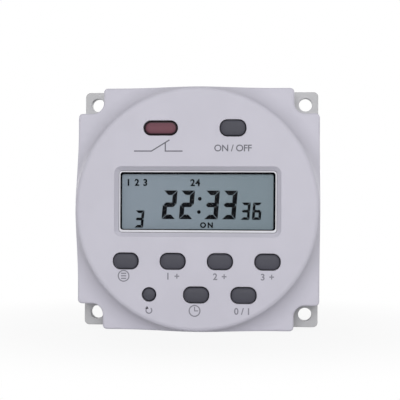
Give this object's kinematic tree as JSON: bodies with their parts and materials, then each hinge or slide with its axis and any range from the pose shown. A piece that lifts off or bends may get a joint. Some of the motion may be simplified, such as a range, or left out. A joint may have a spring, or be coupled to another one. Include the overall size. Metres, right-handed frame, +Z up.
{
  "type": "digital timer switch",
  "caption": "Square panel-mount digital timer switch with a raised round face, display window, indicator, press keys, corner ears and rear flat terminals.",
  "frame": {"origin": "centre of the square of ear holes, on the rear plane of the ears that lies on the panel", "axes": "face looks along -Y, so +Y goes into the panel; +X is to the right seen from the front; +Z is up"},
  "size_m": [0.06, 0.0407, 0.06],
  "materials": {
    "pale_plastic": "fine matt moulded surface",
    "housing_plastic": "matt moulded surface",
    "clear_pane": "clear polished plastic",
    "display_glass": "grey green reflective display",
    "white_plastic": "plain moulded",
    "contact_rubber": "striped silicone",
    "red_lens": "tinted clear, unlit",
    "led_epoxy": "tinted epoxy",
    "key_plastic": "satin moulded",
    "board": "green solder mask",
    "black_moulding": "moulded",
    "bright_metal": "bright nickel",
    "ribbon": "flexible sheath",
    "capacitor_case": "moulded case",
    "resistor_paint": "lacquer",
    "varistor_paint": "dipped epoxy",
    "tinned_brass": "tin plated",
    "screw_steel": "zinc plated"
  },
  "bodies": {
    "timer": {"front_cover": "pale_plastic", "rear_housing": "housing_plastic", "display_window": "clear_pane", "lcd_panel": "display_glass", "lcd_holder": "white_plastic", "contact_strip_upper": "contact_rubber", "contact_strip_lower": "contact_rubber", "indicator_lens": "red_lens", "indicator_led": "led_epoxy", "control_board": "board", "controller_chip": "black_moulding", "crystal": "bright_metal", "backup_cell": "bright_metal", "cell_strap": "bright_metal", "link_ribbon": "ribbon", "power_board": "board", "relay": "black_moulding", "dropper_capacitor": "capacitor_case", "smoothing_capacitor": "black_moulding", "bridge_rectifier": "black_moulding", "input_resistor": "resistor_paint", "surge_varistor": "varistor_paint", "driver_transistor": "black_moulding", "case_screws": "screw_steel", "switch_manual": "black_moulding", "switch_program": "black_moulding", "switch_day": "black_moulding", "switch_hour": "black_moulding", "switch_minute": "black_moulding", "switch_reset": "black_moulding", "switch_clock": "black_moulding", "switch_recall": "black_moulding", "terminal_1": "tinned_brass", "terminal_2": "tinned_brass", "terminal_3": "tinned_brass", "terminal_4": "tinned_brass", "terminal_5": "tinned_brass"},
    "button_manual": {"key_manual": "key_plastic", "plunger_manual": "black_moulding"},
    "button_program": {"key_program": "key_plastic", "plunger_program": "black_moulding"},
    "button_day": {"key_day": "key_plastic", "plunger_day": "black_moulding"},
    "button_hour": {"key_hour": "key_plastic", "plunger_hour": "black_moulding"},
    "button_minute": {"key_minute": "key_plastic", "plunger_minute": "black_moulding"},
    "button_reset": {"key_reset": "key_plastic", "plunger_reset": "black_moulding"},
    "button_clock": {"key_clock": "key_plastic", "plunger_clock": "black_moulding"},
    "button_recall": {"key_recall": "key_plastic", "plunger_recall": "black_moulding"}
  },
  "joints": [
    {"name": "manual_press", "type": "slide", "parent": "timer", "child": "button_manual", "axis": [0, 1, 0], "range_m": [0, 0.0005], "stiffness_N_per_m": 3000, "springref_m": -0.0002},
    {"name": "program_press", "type": "slide", "parent": "timer", "child": "button_program", "axis": [0, 1, 0], "range_m": [0, 0.0005], "stiffness_N_per_m": 3000, "springref_m": -0.0002},
    {"name": "day_press", "type": "slide", "parent": "timer", "child": "button_day", "axis": [0, 1, 0], "range_m": [0, 0.0005], "stiffness_N_per_m": 3000, "springref_m": -0.0002},
    {"name": "hour_press", "type": "slide", "parent": "timer", "child": "button_hour", "axis": [0, 1, 0], "range_m": [0, 0.0005], "stiffness_N_per_m": 3000, "springref_m": -0.0002},
    {"name": "minute_press", "type": "slide", "parent": "timer", "child": "button_minute", "axis": [0, 1, 0], "range_m": [0, 0.0005], "stiffness_N_per_m": 3000, "springref_m": -0.0002},
    {"name": "reset_press", "type": "slide", "parent": "timer", "child": "button_reset", "axis": [0, 1, 0], "range_m": [0, 0.0005], "stiffness_N_per_m": 3000, "springref_m": -0.0002},
    {"name": "clock_press", "type": "slide", "parent": "timer", "child": "button_clock", "axis": [0, 1, 0], "range_m": [0, 0.0005], "stiffness_N_per_m": 3000, "springref_m": -0.0002},
    {"name": "recall_press", "type": "slide", "parent": "timer", "child": "button_recall", "axis": [0, 1, 0], "range_m": [0, 0.0005], "stiffness_N_per_m": 3000, "springref_m": -0.0002}
  ]
}
